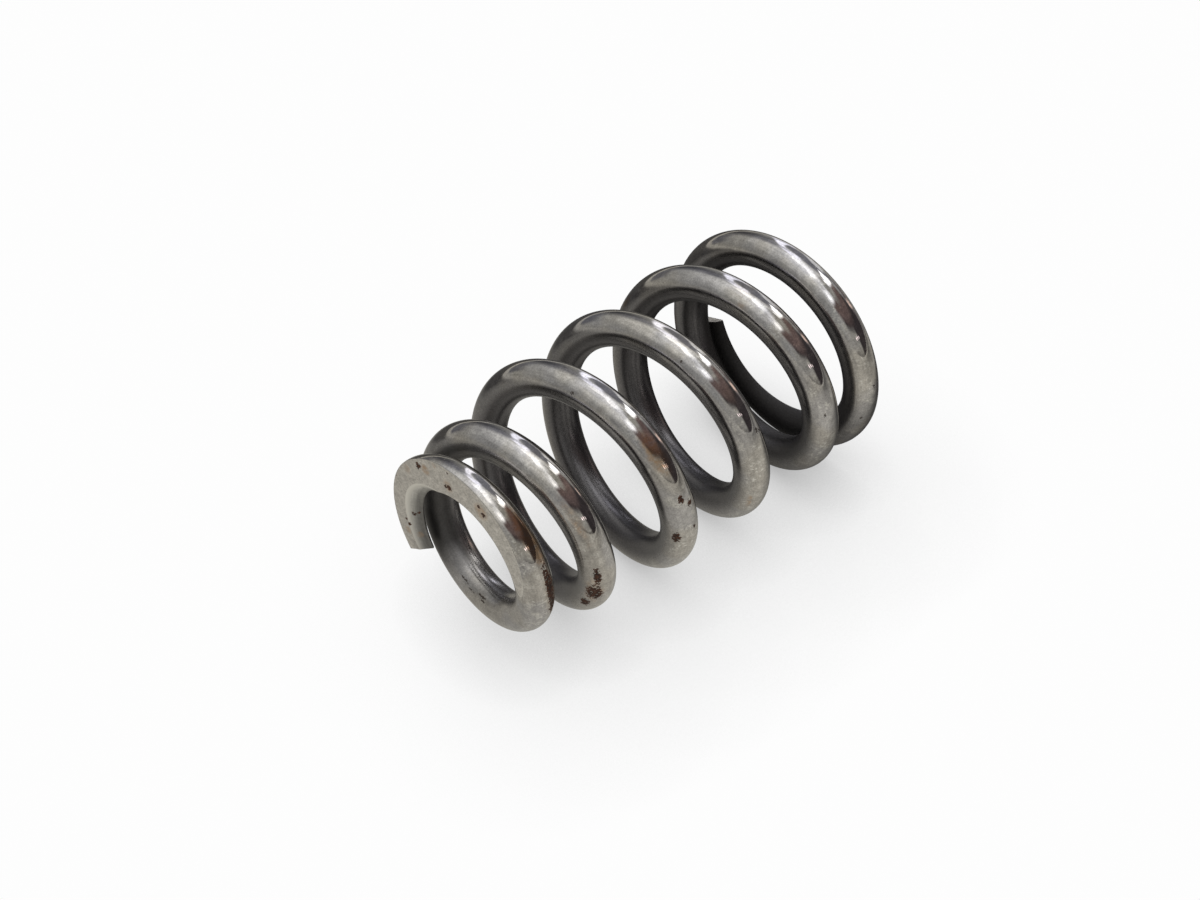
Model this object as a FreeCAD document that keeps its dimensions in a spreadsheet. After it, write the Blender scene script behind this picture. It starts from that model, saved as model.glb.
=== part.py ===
# Beehive valve spring for an overhead valve engine, coiled from one length of round steel wire.
#
# The spring stands on its large end, with +Z up and the origin at the middle of the lower
# ground face. The wire starts at a cut tip on +X and winds upwards as a right-hand helix.
# Its end coils are closed, both ends are ground flat and square to the axis, and the bore
# of each ground face is chamfered. All lengths are in millimetres.
import FreeCAD, Part
import math
import os

Vector = FreeCAD.Vector

NODE = "valve_spring"

# Driving dimensions of the spring
DIMENSIONS = {
    "WireDiameter": "4.7",
    "FreeLength": "58.0",
    "LargeOutsideDiameter": "33.3",
    "SmallOutsideDiameter": "25.8",
    "TotalTurns": "6.05",
    # The lower end: closed turns from the tip, then turns over which the pitch opens
    "LargeEndClosedTurns": "0.6",
    "LargeEndOpeningTurns": "0.95",
    "LargeTipThickness": "1.3",
    # The upper end: closed turns from the tip, then turns over which the pitch opens
    "SmallEndClosedTurns": "0.1",
    "SmallEndOpeningTurns": "2.25",
    "SmallTipThickness": "1.7",
    # The beehive: turns at the small diameter from the upper tip, then turns of taper
    "SmallStraightTurns": "0.5",
    "TaperTurns": "2.1",
    # The bore chamfer of both ground faces
    "ChamferWidth": "1.9",
    "ChamferAngle": "30",
}

# Points along each turn that the smooth centre line passes through
POINTS_PER_TURN = 12

# Lengths of centre line along each turn, so that no swept face wraps over itself
EDGES_PER_TURN = 2

doc = FreeCAD.newDocument("ValveSpring")


# The sheet of dimensions
def make_sheet():
    """Put every driving dimension in a cell of its own, under its name."""
    sheet = doc.addObject("Spreadsheet::Sheet", "Dimensions")
    for row, (name, value) in enumerate(DIMENSIONS.items(), start=1):
        sheet.set(f"A{row}", name)
        sheet.set(f"B{row}", value)
        sheet.setAlias(f"B{row}", name)
    doc.recompute()
    return sheet


# The laws of the coil
def smooth_step(x):
    """Rise from 0 to 1 while x goes from 0 to 1, level at both ends."""
    x = min(max(x, 0.0), 1.0)
    return x * x * (3.0 - 2.0 * x)


def smooth_step_area(x):
    """The area under smooth_step from 0 to x."""
    inside = min(max(x, 0.0), 1.0)
    return inside**3 - inside**4 / 2.0 + max(x - 1.0, 0.0)


def opened_turns(turn, start, span):
    """How many turns' worth of open pitch lie before this turn, if it opens over a span."""
    return span * smooth_step_area((turn - start) / span)


def coil_centre_line(sheet):
    """Points of the wire's centre line, from the lower tip up to the upper tip."""
    wire = sheet.WireDiameter
    total = sheet.TotalTurns
    large_radius = (sheet.LargeOutsideDiameter - wire) / 2.0
    small_radius = (sheet.SmallOutsideDiameter - wire) / 2.0

    # Each grinding plane leaves the tip's thickness of the wire beside it.
    start_height = sheet.LargeTipThickness - wire / 2.0
    end_height = sheet.FreeLength - sheet.SmallTipThickness + wire / 2.0

    # A closed turn climbs by one wire, and the active pitch makes up the free length.
    closed_pitch = wire
    opening = (sheet.LargeEndClosedTurns, sheet.LargeEndOpeningTurns)
    closing_span = sheet.SmallEndOpeningTurns
    closing = (total - sheet.SmallEndClosedTurns - closing_span, closing_span)
    active_turns = opened_turns(total, *opening) - opened_turns(total, *closing)
    climb = end_height - start_height
    active_pitch = closed_pitch + (climb - closed_pitch * total) / active_turns

    points = []
    steps = round(total * POINTS_PER_TURN)
    for step in range(steps + 1):
        turn = total * step / steps
        taper = (total - turn - sheet.SmallStraightTurns) / sheet.TaperTurns
        radius = small_radius + (large_radius - small_radius) * smooth_step(taper)
        active = opened_turns(turn, *opening) - opened_turns(turn, *closing)
        height = start_height + closed_pitch * turn + (active_pitch - closed_pitch) * active
        angle = math.tau * turn
        points.append(Vector(radius * math.cos(angle), radius * math.sin(angle), height))
    print(f"active pitch {active_pitch:.2f} mm over {active_turns:.2f} active turns")
    return points


# The coiled wire
def add_centre_line(points):
    """The centre line as one smooth curve, cut into half turns that run on into each other."""
    curve = Part.BSplineCurve()
    curve.interpolate(points)
    count = round((len(points) - 1) * EDGES_PER_TURN / POINTS_PER_TURN)
    length = (curve.LastParameter - curve.FirstParameter) / count
    edges = []
    for index in range(count):
        start = curve.FirstParameter + length * index
        edges.append(curve.toShape(start, start + length))
    line = doc.addObject("Part::Feature", "centre_line")
    line.Shape = Part.Wire(edges)
    return line


def add_wire_section(centre_line):
    """The round section of the wire, square to the centre line at the lower tip."""
    edge = centre_line.Shape.Edges[0]
    start = edge.FirstParameter
    section = doc.addObject("Part::Circle", "wire_section")
    section.setExpression("Radius", "Dimensions.WireDiameter / 2")
    turned = FreeCAD.Rotation(Vector(0, 0, 1), edge.tangentAt(start))
    section.Placement = FreeCAD.Placement(edge.valueAt(start), turned)
    return section


def add_coiled_wire(section, centre_line):
    """The round wire swept along its centre line."""
    wire = doc.addObject("Part::Sweep", "coiled_wire")
    wire.Sections = [section]
    wire.Spine = (centre_line, [f"Edge{index + 1}" for index in range(len(centre_line.Shape.Edges))])
    wire.Solid = True
    wire.Frenet = True
    return wire


# The ground ends
def grind_ends(wire):
    """Keep what lies between the two grinding planes, one free length apart."""
    between = doc.addObject("Part::Cylinder", "between_grinding_planes")
    between.setExpression("Radius", "Dimensions.LargeOutsideDiameter")
    between.setExpression("Height", "Dimensions.FreeLength")
    ground = doc.addObject("Part::Common", "ground_coil")
    ground.Base = wire
    ground.Tool = between
    return ground


def chamfer_bore(spring, end, outside, height, turned):
    """Take the sharp inner edge off one ground face with a shallow cone."""
    cone = doc.addObject("Part::Cone", f"{end}_chamfer_cone")
    mouth = f"Dimensions.{outside} / 2 - Dimensions.WireDiameter + Dimensions.ChamferWidth"
    cone.setExpression("Radius1", mouth)
    cone.Radius2 = 0
    cone.setExpression("Height", f"({mouth}) * tan(Dimensions.ChamferAngle * 1 deg)")
    cone.Placement.Rotation = FreeCAD.Rotation(Vector(1, 0, 0), turned)
    cone.setExpression("Placement.Base.z", height)
    cut = doc.addObject("Part::Cut", f"{end}_chamfered")
    cut.Base = spring
    cut.Tool = cone
    return cut


def make_spring(sheet):
    """The whole spring: coiled, ground at both ends and chamfered."""
    centre_line = add_centre_line(coil_centre_line(sheet))
    section = add_wire_section(centre_line)
    wire = add_coiled_wire(section, centre_line)
    ground = grind_ends(wire)
    lower = chamfer_bore(ground, "large_end", "LargeOutsideDiameter", "0", 0)
    spring = chamfer_bore(lower, "small_end", "SmallOutsideDiameter", "Dimensions.FreeLength", 180)
    spring.Label = NODE
    return spring


# Checks before anything is written
def check_document(spring):
    """Stop on any failed object, and on a spring that isn't one valid solid."""
    for item in doc.Objects:
        if "Invalid" in item.State or "Error" in item.State:
            raise RuntimeError(f"{item.Label} failed to build")
    shape = spring.Shape
    if shape.isNull() or not shape.isValid() or len(shape.Solids) != 1:
        raise RuntimeError(f"{spring.Label} is not one valid solid")


sheet = make_sheet()
spring = make_spring(sheet)
doc.recompute()
check_document(spring)

wire_volume = math.pi * (sheet.WireDiameter / 2.0) ** 2 * doc.centre_line.Shape.Length
print(f"{NODE}: {spring.Shape.Volume:.0f} mm3 of {wire_volume:.0f} mm3 of wire is left by the grinding")

os.makedirs("parts", exist_ok=True)
spring.Shape.exportStep(f"parts/{NODE}.step")
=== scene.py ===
# %% [markdown]
# # A beehive valve spring in Blender
#
# The object is one length of round steel wire, coiled into a spring that narrows towards its top.
# Both ends are ground flat. This file makes its visible form with Geometry Nodes, gives it a worn
# steel finish, and photographs it as the reference picture does. Each step is a cell that can be
# read and run on its own, after the ones above it.

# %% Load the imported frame
import math

import bpy
from mathutils import Matrix, Vector


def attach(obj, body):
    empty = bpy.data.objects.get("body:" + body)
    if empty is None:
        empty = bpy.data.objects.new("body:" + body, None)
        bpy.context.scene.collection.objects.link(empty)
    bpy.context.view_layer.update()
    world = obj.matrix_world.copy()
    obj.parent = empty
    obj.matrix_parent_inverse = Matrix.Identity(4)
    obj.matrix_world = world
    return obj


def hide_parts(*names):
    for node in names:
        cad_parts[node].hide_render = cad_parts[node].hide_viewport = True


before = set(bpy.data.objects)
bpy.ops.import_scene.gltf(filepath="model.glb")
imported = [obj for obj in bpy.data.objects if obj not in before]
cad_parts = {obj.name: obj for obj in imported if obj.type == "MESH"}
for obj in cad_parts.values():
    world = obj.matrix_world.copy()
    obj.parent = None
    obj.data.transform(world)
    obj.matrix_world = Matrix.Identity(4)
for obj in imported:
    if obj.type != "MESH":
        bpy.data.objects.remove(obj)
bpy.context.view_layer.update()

print("CAD nodes:", sorted(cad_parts))

# %% [markdown]
# ## The sizes of the spring
#
# A spring maker orders a spring by a few numbers: the wire, the outside diameters, the free length,
# the turns and how its ends are closed and ground. The same numbers built the CAD solid, so the
# visible coil follows it exactly. They are in millimetres, turns and degrees.

# %% Name the sizes
MM = 0.001
SPRING_SIZES = {
    "Wire Diameter": 4.7,
    "Free Length": 58.0,
    "Large Outside Diameter": 33.3,
    "Small Outside Diameter": 25.8,
    "Total Turns": 6.05,
    "Large End Closed Turns": 0.6,
    "Large End Opening Turns": 0.95,
    "Large Tip Thickness": 1.3,
    "Small End Closed Turns": 0.1,
    "Small End Opening Turns": 2.25,
    "Small Tip Thickness": 1.7,
    "Small Straight Turns": 0.5,
    "Taper Turns": 2.1,
    "Chamfer Width": 1.9,
    "Chamfer Angle": 30.0,
}
WIRE_RADIUS = SPRING_SIZES["Wire Diameter"] / 2
print("named sizes:", len(SPRING_SIZES))

# %% [markdown]
# ## Formulas as nodes
#
# A node tree can work out any formula, but a long chain of Math nodes is slow to write and hard to
# read. The small class below wraps a socket, so that a line such as a * b + 1 adds the Math nodes
# for it. The laws of the coil, the patterns of the steel and the light of the room all use it.

# %% A socket that can be added and multiplied
class Field:
    """A socket of a node tree, with the signs + - * / for it."""

    def __init__(self, tree, socket):
        self.tree = tree
        self.socket = socket

    def maths(self, operation, *others, clamp=False):
        """The result of one Math node, with this socket as its first input."""
        node = self.tree.nodes.new("ShaderNodeMath")
        node.operation = operation
        node.use_clamp = clamp
        for slot, value in zip(node.inputs, (self, *others)):
            plug(self.tree, value, slot)
        return Field(self.tree, node.outputs[0])

    def __add__(self, other):
        return self.maths("ADD", other)

    def __sub__(self, other):
        return self.maths("SUBTRACT", other)

    def __mul__(self, other):
        return self.maths("MULTIPLY", other)

    def __truediv__(self, other):
        return self.maths("DIVIDE", other)

    def __radd__(self, other):
        return self + other

    def __rmul__(self, other):
        return self * other

    def __rsub__(self, other):
        return (self * -1.0) + other

    def __rtruediv__(self, other):
        return self.maths("POWER", -1.0) * other

    def __neg__(self):
        return self * -1.0


def plug(tree, value, slot):
    """Link a field to an input, or write a plain value into it."""
    if isinstance(value, Field):
        tree.links.new(value.socket, slot)
    elif slot.type == "RGBA" and len(value) == 3:
        slot.default_value = (*value, 1.0)
    else:
        slot.default_value = value


def node_of(tree, kind, settings=None, **inputs):
    """A new node with its settings, and its inputs by name."""
    node = tree.nodes.new(kind)
    for name, value in (settings or {}).items():
        setattr(node, name, value)
    for name, value in inputs.items():
        plug(tree, value, node.inputs[name.replace("_", " ")])
    return node


def output_of(tree, node, name=0):
    """One output of a node, as a field."""
    return Field(tree, node.outputs[name])


print("formulas are ready")

# %% [markdown]
# ## The laws of the coil
#
# Everything about the coil depends on the turn, counted from the cut tip at the large end. A smooth
# step changes a size without a kink. The area under that step says how far the wire has climbed
# while its pitch opens. At each end the pitch closes up to one wire, and the tip is left thin.

# %% Laws shared by the node tree
def smooth_step(x):
    """Rise from 0 to 1 while x goes from 0 to 1, level at both ends."""
    x = x.maths("MINIMUM", 1.0).maths("MAXIMUM", 0.0)
    return x * x * (3.0 - 2.0 * x)


def smooth_step_area(x):
    """The area under smooth_step from 0 to x."""
    inside = x.maths("MINIMUM", 1.0).maths("MAXIMUM", 0.0)
    cube = inside * inside * inside
    return cube - cube * inside / 2.0 + (x - 1.0).maths("MAXIMUM", 0.0)


def share(x, start, count):
    """Rise evenly from 0 to 1 while x goes from start to start + count."""
    return ((x - start) / count).maths("MAXIMUM", 0.0).maths("MINIMUM", 1.0)


print("laws:", smooth_step.__name__, smooth_step_area.__name__, share.__name__)

# %% [markdown]
# ## Columns round the wire
#
# The coil could be a swept circle that a Boolean then cuts flat, but a Boolean leaves ragged edges
# where the grinding plane leaves the wire at a low angle. Here the surface is one grid instead. Its
# columns run along the wire, and some of them lie exactly on the edges that grinding and
# chamfering leave. A narrow column on each side of an edge makes it look slightly rounded.

# %% Count the columns
EDGE_COLUMN = 0.12
CHAMFER_COLUMNS = 3
GROUND_COLUMNS = 3
OUTER_COLUMNS = 33
INNER_COLUMNS = 29
END_ZONE = CHAMFER_COLUMNS + GROUND_COLUMNS + 4
COLUMNS = 2 * END_ZONE + OUTER_COLUMNS + INNER_COLUMNS + 4
ROWS = 1120
print("grid:", COLUMNS, "columns and", ROWS, "rows, so", 2 * COLUMNS * ROWS, "triangles")

# %% [markdown]
# ## The coil as a Geometry Nodes tree
#
# The tree starts from a flat grid. Its rows become turns and its columns go round the wire. For
# each point it works out the centre line and the direction of the wire there, then a place on the
# round section, and last what grinding and chamfering leave of it. The names of its inputs are the
# names that a spring maker uses.

# %% Start the tree and its inputs
coil_tree = bpy.data.node_groups.new("coil_of_wire", "GeometryNodeTree")
coil_tree.interface.new_socket("Geometry", in_out="INPUT", socket_type="NodeSocketGeometry")
coil_tree.interface.new_socket("Geometry", in_out="OUTPUT", socket_type="NodeSocketGeometry")
size_sockets = {}
for name, value in SPRING_SIZES.items():
    socket = coil_tree.interface.new_socket(name, in_out="INPUT", socket_type="NodeSocketFloat")
    socket.default_value = value
    size_sockets[name] = socket
steel_socket = coil_tree.interface.new_socket(
    "Steel", in_out="INPUT", socket_type="NodeSocketMaterial"
)
tree_in = coil_tree.nodes.new("NodeGroupInput")
tree_out = coil_tree.nodes.new("NodeGroupOutput")


def size(name):
    """A named size of the spring inside the tree."""
    return Field(coil_tree, tree_in.outputs[name])


print("inputs of the tree:", len(size_sockets) + 1)

# %% Turn and column of each grid point
flat_grid = node_of(
    coil_tree,
    "GeometryNodeMeshGrid",
    Size_X=1.0,
    Size_Y=1.0,
    Vertices_X=ROWS,
    Vertices_Y=COLUMNS + 1,
)
grid_place = node_of(coil_tree, "GeometryNodeInputPosition")
grid_split = node_of(coil_tree, "ShaderNodeSeparateXYZ")
coil_tree.links.new(grid_place.outputs[0], grid_split.inputs[0])
row = ((output_of(coil_tree, grid_split, "X") + 0.5) * (ROWS - 1.0)).maths("ROUND")
column = ((output_of(coil_tree, grid_split, "Y") + 0.5) * float(COLUMNS)).maths("ROUND")

# The first two rows close the lower cut end, and the last two close the upper one.
TIP_ROW_TURN = 0.0015
total_turns = size("Total Turns")
last_ring = ROWS - 3
turn = (
    share(row, 2.0, 1.0) * TIP_ROW_TURN
    + share(row, 3.0, last_ring - 4.0) * (total_turns - 2.0 * TIP_ROW_TURN)
    + share(row, last_ring - 1.0, 1.0) * TIP_ROW_TURN
)
lower_cap = 1.0 - share(row, 0.0, 2.0)
upper_cap = share(row, float(last_ring), 2.0)
CAP_RIM = 0.16
cap_depth = lower_cap + upper_cap
to_cap_centre = share(cap_depth, 0.0, 0.5) * CAP_RIM + share(cap_depth, 0.5, 0.5) * (1.0 - CAP_RIM)
print("rings of points along the wire:", last_ring - 1)

# %% Centre line at each turn
wire_radius = size("Wire Diameter") / 2.0
large_radius = size("Large Outside Diameter") / 2.0 - wire_radius
small_radius = size("Small Outside Diameter") / 2.0 - wire_radius
taper_turns = size("Taper Turns")


def taper_place(at_turn):
    """0 where the narrow top begins and 1 where the coil has its full size."""
    return (total_turns - at_turn - size("Small Straight Turns")) / taper_turns


def radius_at(at_turn):
    """Radius of the centre line at a turn."""
    return small_radius + (large_radius - small_radius) * smooth_step(taper_place(at_turn))


opening_start = size("Large End Closed Turns")
opening_span = size("Large End Opening Turns")
closing_span = size("Small End Opening Turns")
closing_start = total_turns - size("Small End Closed Turns") - closing_span


def active_before(at_turn):
    """How many turns' worth of open pitch lie before a turn."""
    opened = opening_span * smooth_step_area((at_turn - opening_start) / opening_span)
    closed = closing_span * smooth_step_area((at_turn - closing_start) / closing_span)
    return opened - closed


start_height = size("Large Tip Thickness") - wire_radius
end_height = size("Free Length") - size("Small Tip Thickness") + wire_radius
closed_pitch = size("Wire Diameter")
climb = end_height - start_height - closed_pitch * total_turns
extra_pitch = climb / active_before(total_turns)


def height_at(at_turn):
    """Height of the centre line at a turn."""
    return start_height + closed_pitch * at_turn + extra_pitch * active_before(at_turn)


coil_radius = radius_at(turn)
centre_height = height_at(turn)
print("the centre line climbs from tip to tip")

# %% [markdown]
# The wire's direction is the slope of that centre line. Two more directions complete a frame that
# rides along it: one points out of the coil and one points up its side. A section drawn in this
# frame stays round and square to the wire, as a real wire's does.

# %% Frame that rides along the wire
def slope_of(law_at, step=0.002):
    """The change of a law over one turn, from two turns close together."""
    return (law_at(turn + step) - law_at(turn - step)) / (2.0 * step)


out_slope = slope_of(radius_at)
up_slope = slope_of(height_at)
round_slope = coil_radius * math.tau


def vector_of(x, y, z):
    """A vector field from three numbers."""
    node = coil_tree.nodes.new("ShaderNodeCombineXYZ")
    for slot, value in zip(node.inputs, (x, y, z)):
        plug(coil_tree, value, slot)
    return output_of(coil_tree, node)


def vector_maths(operation, first, second=None, output=0):
    """The result of one Vector Math node."""
    node = coil_tree.nodes.new("ShaderNodeVectorMath")
    node.operation = operation
    plug(coil_tree, first, node.inputs[0])
    if second is not None:
        plug(coil_tree, second, node.inputs[1])
    return output_of(coil_tree, node, output)


def scaled(vector, amount):
    """A vector field times a number."""
    node = coil_tree.nodes.new("ShaderNodeVectorMath")
    node.operation = "SCALE"
    plug(coil_tree, vector, node.inputs[0])
    plug(coil_tree, amount, node.inputs["Scale"])
    return output_of(coil_tree, node)


# In this frame x points out of the coil, y along the turn and z up.
along = vector_maths("NORMALIZE", vector_of(out_slope, round_slope, up_slope))
outward = vector_maths("CROSS_PRODUCT", along, vector_of(0.0, 0.0, 1.0))
outward = vector_maths("NORMALIZE", outward)
upward = vector_maths("NORMALIZE", vector_maths("CROSS_PRODUCT", outward, along))
upward_split = node_of(coil_tree, "ShaderNodeSeparateXYZ")
coil_tree.links.new(upward.socket, upward_split.inputs[0])
rise = output_of(coil_tree, upward_split, "Z")
print("the frame has the directions along, outward and upward")

# %% [markdown]
# ## Ground and chamfered ends
#
# The real spring's ends are pressed against a grinding wheel, so that they sit square. The wheel
# leaves a flat crescent that starts as a thin tip and fades out after about three quarters of a
# turn. Then the sharp inner edge is taken off with a shallow cone. The photograph shows that this
# chamfer is widest at the tip and runs out in a point after a quarter of a turn, and that the large
# end has hardly any. Seen in one section of the wire, both cuts are straight lines across a circle,
# and the formulas below find where they cross it.

# %% How far across the wire the chamfer reaches
CHAMFERED_TURNS = 0.275
RUN_OUT_TURNS = 0.165
WIDER_AT_TIP = 0.50
LARGE_END_SHARE = 0.35
CLEAR_OF_WIRE = 0.05
quarter = math.pi / 2.0


def mouth_at(turns_from_tip, width):
    """Distance from the section's middle to the chamfer's outer edge."""
    begun = share(CHAMFERED_TURNS - turns_from_tip, 0.0, RUN_OUT_TURNS)
    return (width + CLEAR_OF_WIRE) * (begun * quarter).maths("SINE") - wire_radius - CLEAR_OF_WIRE


def chosen(condition, when_true, when_false):
    """One of two fields."""
    node = node_of(coil_tree, "GeometryNodeSwitch", {"input_type": "FLOAT"})
    coil_tree.links.new(condition.socket, node.inputs["Switch"])
    plug(coil_tree, when_false, node.inputs["False"])
    plug(coil_tree, when_true, node.inputs["True"])
    return output_of(coil_tree, node)


chamfer_width = size("Chamfer Width")
lower_mouth = mouth_at(turn, chamfer_width * LARGE_END_SHARE)
upper_mouth = mouth_at(total_turns - turn, chamfer_width + WIDER_AT_TIP)
print("the chamfer lasts", CHAMFERED_TURNS, "of a turn")

# %% Where the cuts cross the section
chamfer_radians = size("Chamfer Angle").maths("RADIANS")
chamfer_slope = chamfer_radians.maths("TANGENT")
chamfer_cosine = chamfer_radians.maths("COSINE")
LEAST_HALF_DEGREES = 6.0
least_half_width = math.radians(LEAST_HALF_DEGREES)


def half_width(depth):
    """Half the angle of the section that a line at this depth from its centre cuts off."""
    ratio = (depth / wire_radius).maths("MAXIMUM", -1.0).maths("MINIMUM", 1.0)
    return ratio.maths("ARCCOSINE").maths("MAXIMUM", least_half_width)


def end_cut(plane_depth, mouth):
    """The angles of the outer and inner edges of one ground end, from the plane's direction."""
    depth = plane_depth / rise
    outer = half_width(depth)
    cone = chamfer_radians + half_width((depth - mouth * chamfer_slope) * chamfer_cosine)
    reached = mouth.maths("GREATER_THAN", -(outer.maths("SINE") * wire_radius))
    return outer, chosen(reached, cone, outer)


lower_depth = centre_height
upper_depth = size("Free Length") - centre_height
lower_outer, lower_inner = end_cut(lower_depth, lower_mouth)
upper_outer, upper_inner = end_cut(upper_depth, upper_mouth)
print("cuts are measured from the middle of each section")

# %% Share the columns out
EDGE_SHARE = 0.12


def zone_across(x, outer, inner, mouth):
    """Distance from the section's middle across one end zone, from its chamfer to its rim."""
    inner_edge = -(inner.maths("SINE") * wire_radius)
    outer_edge = outer.maths("SINE") * wire_radius
    edge = ((outer_edge - inner_edge) * EDGE_SHARE).maths("MINIMUM", EDGE_COLUMN)
    middle = mouth.maths("MAXIMUM", inner_edge + 2.5 * edge)
    chamfer_span = middle - inner_edge - 2.0 * edge
    ground_span = outer_edge - middle - 2.0 * edge
    ground_first = CHAMFER_COLUMNS + 2.0
    return (
        inner_edge
        + share(x, 0.0, 1.0) * edge
        + share(x, 1.0, float(CHAMFER_COLUMNS)) * chamfer_span
        + share(x, CHAMFER_COLUMNS + 1.0, 2.0) * (2.0 * edge)
        + share(x, ground_first + 1.0, float(GROUND_COLUMNS)) * ground_span
        + share(x, ground_first + 1.0 + GROUND_COLUMNS, 1.0) * edge
    )


def arc_angle(x, count, start, end):
    """Angle round the section on a stretch of round wire, with a narrow column at each end."""
    narrow = EDGE_COLUMN / WIRE_RADIUS
    return (
        start
        + share(x, 0.0, 1.0) * narrow
        + share(x, 1.0, float(count)) * (end - start - 2.0 * narrow)
        + share(x, count + 1.0, 1.0) * narrow
    )


outer_start = END_ZONE
top_start = outer_start + OUTER_COLUMNS + 2
inner_start = top_start + END_ZONE
lower_across = zone_across(column, lower_outer, lower_inner, lower_mouth)
upper_across = zone_across(inner_start - column, upper_outer, upper_inner, upper_mouth)
outer_angle = arc_angle(
    column - float(outer_start), OUTER_COLUMNS, lower_outer - quarter, quarter - upper_outer
)
inner_angle = arc_angle(
    column - float(inner_start), INNER_COLUMNS, upper_inner + quarter, 3.0 * quarter - lower_inner
)
print("columns: lower end to", outer_start, "outer to", top_start, "upper end to", inner_start)

# %% [markdown]
# Each column now knows which law it follows. A switch picks the right one, and then both cuts
# are laid over the result: a point beyond the grinding plane or the cone moves straight back to it.

# %% Pick the law of each column and cut the section
def level_part(across):
    """How far the circle reaches up or down at a distance from its middle."""
    return (wire_radius * wire_radius - across * across).maths("MAXIMUM", 0.0).maths("SQRT")


in_lower_zone = column.maths("LESS_THAN", outer_start + 0.5)
in_outer_arc = column.maths("LESS_THAN", top_start - 0.5)
in_upper_zone = column.maths("LESS_THAN", inner_start + 0.5)
arc = chosen(in_outer_arc, outer_angle, inner_angle)
arc_across = arc.maths("COSINE") * wire_radius
arc_level = arc.maths("SINE") * wire_radius
is_arc = chosen(in_outer_arc, 1.0, chosen(in_upper_zone, 0.0, 1.0))
upper_or_arc_across = chosen(is_arc, arc_across, upper_across)
across = chosen(in_lower_zone, lower_across, upper_or_arc_across)
upper_or_arc_level = chosen(is_arc, arc_level, level_part(upper_across))
round_level = chosen(in_lower_zone, -level_part(lower_across), upper_or_arc_level)

CHAMFER_ROUNDING = 0.10
into_lower = (lower_mouth - across).maths("SMOOTH_MAX", 0.0, CHAMFER_ROUNDING)
into_upper = (upper_mouth - across).maths("SMOOTH_MAX", 0.0, CHAMFER_ROUNDING)
lower_limit = -((lower_depth - into_lower * chamfer_slope) / rise)
upper_limit = (upper_depth - into_upper * chamfer_slope) / rise
cut_level = round_level.maths("MAXIMUM", lower_limit).maths("MINIMUM", upper_limit)
section_middle = (
    lower_limit.maths("MAXIMUM", -wire_radius) + upper_limit.maths("MINIMUM", wire_radius)
) / 2.0
keep = 1.0 - to_cap_centre
across_here = across * keep
level_here = cut_level * keep + section_middle * to_cap_centre
print("each section is a circle with its ground and chamfered sides cut off")

# %% [markdown]
# ## Places for the finish
#
# Rust, stains and grain have to follow the wire. So each point also keeps its place on the wire as
# if it were straight again: how far along it is, and where it is in the section. A second attribute
# says how far the point belongs to a ground face, a chamfer or a cut end. The wire was cut off a
# little askew, so the small end's tip is slanted and slightly hollow, and the large end's tip stops
# a little short. The whole surface is made a hair smaller than the solid, so that it never stands
# proud of the solid's box.

# %% Turn the sections into the coil
SLANT_TURNS = 0.05
SLANT_LONGER = 0.33
SLANT_PER_MM = 0.125
HOLLOW = 0.16
HOLLOW_SPREAD = 4.4
LARGE_TIP_SHORTER = 1.05
near_large_tip = share(SLANT_TURNS - turn, 0.0, SLANT_TURNS)
near_small_tip = share(turn, total_turns - SLANT_TURNS, SLANT_TURNS)
hollow_mm = (1.0 - across_here * across_here / HOLLOW_SPREAD).maths("MAXIMUM", 0.0) * HOLLOW
slant_mm = near_small_tip * (SLANT_LONGER - SLANT_PER_MM * across_here - hollow_mm)
slant_mm = slant_mm + near_large_tip * LARGE_TIP_SHORTER
turn_angle = turn * math.tau + slant_mm / coil_radius
centre = vector_of(coil_radius, 0.0, centre_height)
section_offset = vector_maths(
    "ADD", scaled(outward, across_here), scaled(upward, level_here)
)
unturned = vector_maths("ADD", centre, section_offset)
turned = node_of(coil_tree, "ShaderNodeVectorRotate", {"rotation_type": "Z_AXIS"})
plug(coil_tree, unturned, turned.inputs["Vector"])
plug(coil_tree, turn_angle, turned.inputs["Angle"])
HAIR_SMALLER = 0.9999
place = scaled(output_of(coil_tree, turned), MM * HAIR_SMALLER)
print("the surface is", HAIR_SMALLER, "of the solid's size")

# %% Shares of each finish and places along the wire
GROUND_BORDER = 0.06
MIDDLE_TURN = 3.0
ground_cut = (round_level - cut_level).maths("ABSOLUTE")
ground_share = smooth_step(ground_cut / GROUND_BORDER) * keep
chamfer_depth = chosen(turn.maths("GREATER_THAN", MIDDLE_TURN), upper_mouth, lower_mouth) - across
chamfer_share = ground_share * smooth_step(chamfer_depth / EDGE_COLUMN + 0.5)
cut_end_share = share(cap_depth, 0.0, 0.5)

tapered_length = taper_turns * (
    smooth_step_area((total_turns - size("Small Straight Turns")) / taper_turns)
    - smooth_step_area(taper_place(turn))
)
length_along = (small_radius * turn + (large_radius - small_radius) * tapered_length) * math.tau
wire_place = vector_of(length_along, across_here, level_here)
finish_shares = vector_of(ground_share, chamfer_share, cut_end_share)
print("places and shares are ready")

# %% [markdown]
# ## Where rust, stains and pits sit
#
# The photograph shows a handful of rust patches, brown stains and small dark pits. Each one is
# written down as a place on the wire: the turn it lies at, then how far outwards and how far
# towards the small end its middle is from the centre of the wire, then its half length and half
# width, all in millimetres. A sixth number makes a mark fainter. The tree turns the lists into
# soft masks, and the steel later gives their borders a ragged edge. The marks behind are guesses.

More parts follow.
